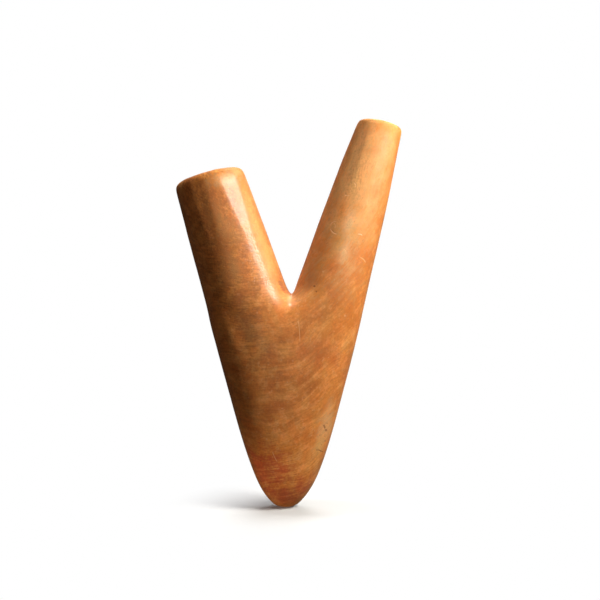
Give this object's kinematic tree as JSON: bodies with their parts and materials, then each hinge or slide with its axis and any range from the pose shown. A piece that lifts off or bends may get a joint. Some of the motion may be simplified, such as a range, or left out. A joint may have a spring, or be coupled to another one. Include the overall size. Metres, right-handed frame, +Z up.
{
  "type": "v-shaped wooden snuff pipe",
  "caption": "V-shaped pipe carved from one piece of brown wood: a wide mouth arm and a longer, slimmer nose arm, bored through and meeting above a rounded closed tip.",
  "frame": {"origin": "under the middle of the pipe's bounding box, at the height of the closed tip's lowest point", "axes": "+Z up, from the closed tip towards the arms' open ends; +X towards the nose arm; +Y through the thickness, towards the back"},
  "size_m": [0.0534, 0.0184, 0.0919],
  "materials": {
    "oiled_wood": "warm brown hardwood, hand-carved, sanded and oiled to a low sheen"
  },
  "bodies": {
    "root": {"pipe_body": "oiled_wood"}
  },
  "joints": []
}
